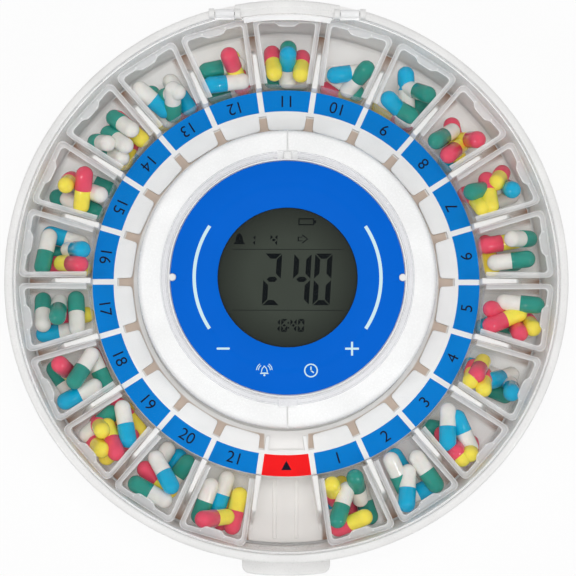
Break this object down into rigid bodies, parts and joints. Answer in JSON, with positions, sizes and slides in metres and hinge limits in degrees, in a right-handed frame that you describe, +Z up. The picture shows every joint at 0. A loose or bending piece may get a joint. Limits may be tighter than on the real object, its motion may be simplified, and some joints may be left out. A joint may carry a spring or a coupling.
{
  "type": "electronic pill box",
  "caption": "Round automatic pill box: a geared carousel of cups turns past an exit window under a clear hinged cover, with a clock face and keys in the middle.",
  "frame": {"origin": "middle of the underside, on the carousel's axis", "axes": "+Z up along the carousel's axis, +Y to the cover's hinge, -Y to the exit window and lip, +X to the right seen from above"},
  "size_m": [0.22, 0.2265, 0.0553],
  "materials": {
    "shell_white": "satin",
    "hub_white": "satin",
    "face_blue": "satin film",
    "lcd_olive": "smooth",
    "clear_plastic": "polished clear plastic",
    "cup_frost": "smoky clear plastic",
    "pad_rubber": "matt",
    "steel": "plain",
    "board_green": "coated laminate",
    "black_plastic": "matt",
    "gear_white": "matt",
    "cell_jacket": "plain jacket"
  },
  "bodies": {
    "base": {"base_shell": "shell_white", "battery_cell_1": "cell_jacket", "battery_cell_2": "cell_jacket", "battery_cell_3": "cell_jacket", "battery_cell_4": "cell_jacket", "battery_contact_front": "steel", "battery_contact_rear": "steel", "buzzer": "black_plastic", "circuit_board": "board_green", "faceplate": "face_blue", "foot_pad_1": "pad_rubber", "foot_pad_2": "pad_rubber", "foot_pad_3": "pad_rubber", "foot_pad_4": "pad_rubber", "gear_motor": "steel", "hinge_pin_left": "steel", "hinge_pin_right": "steel", "hub_housing": "hub_white", "lcd_lens": "clear_plastic", "lcd_panel": "lcd_olive"},
    "cover": {"clear_cover": "clear_plastic"},
    "carousel": {"carousel_tray": "shell_white", "number_ring": "hub_white", "cup_01": "cup_frost", "cup_02": "cup_frost", "cup_03": "cup_frost", "cup_04": "cup_frost", "cup_05": "cup_frost", "cup_06": "cup_frost", "cup_07": "cup_frost", "cup_08": "cup_frost", "cup_09": "cup_frost", "cup_10": "cup_frost", "cup_11": "cup_frost", "cup_12": "cup_frost", "cup_13": "cup_frost", "cup_14": "cup_frost", "cup_15": "cup_frost", "cup_16": "cup_frost", "cup_17": "cup_frost", "cup_18": "cup_frost", "cup_19": "cup_frost", "cup_20": "cup_frost", "cup_21": "cup_frost"},
    "pinion": {"drive_pinion": "gear_white"},
    "battery_hatch": {"battery_door": "shell_white"},
    "key_minus_plunger": {"key_minus": "black_plastic"},
    "key_alarm_plunger": {"key_alarm": "black_plastic"},
    "key_clock_plunger": {"key_clock": "black_plastic"},
    "key_plus_plunger": {"key_plus": "black_plastic"}
  },
  "joints": [
    {"name": "cover_hinge", "type": "hinge", "parent": "base", "child": "cover", "pos_m": [0, 0.10439, 0.0466], "axis": [-1, 0, 0], "range_deg": [0, 100]},
    {"name": "carousel_turn", "type": "hinge", "parent": "base", "child": "carousel", "pos_m": [0, 0, 0], "axis": [0, 0, 1], "continuous": true},
    {"name": "pinion_turn", "type": "hinge", "parent": "base", "child": "pinion", "pos_m": [0, 0.03712, 0.022], "axis": [0, 0, 1], "continuous": true},
    {"name": "battery_hatch_slide", "type": "slide", "parent": "base", "child": "battery_hatch", "axis": [0, 0, -1], "range_m": [0, 0.012]},
    {"name": "key_minus_press", "type": "slide", "parent": "base", "child": "key_minus_plunger", "axis": [0, 0, -1], "range_m": [0, 0.0005], "stiffness_N_per_m": 400},
    {"name": "key_alarm_press", "type": "slide", "parent": "base", "child": "key_alarm_plunger", "axis": [0, 0, -1], "range_m": [0, 0.0005], "stiffness_N_per_m": 400},
    {"name": "key_clock_press", "type": "slide", "parent": "base", "child": "key_clock_plunger", "axis": [0, 0, -1], "range_m": [0, 0.0005], "stiffness_N_per_m": 400},
    {"name": "key_plus_press", "type": "slide", "parent": "base", "child": "key_plus_plunger", "axis": [0, 0, -1], "range_m": [0, 0.0005], "stiffness_N_per_m": 400}
  ],
  "couplings": [
    {"joint": "pinion_turn", "follows": "carousel_turn", "ratio": 4}
  ]
}
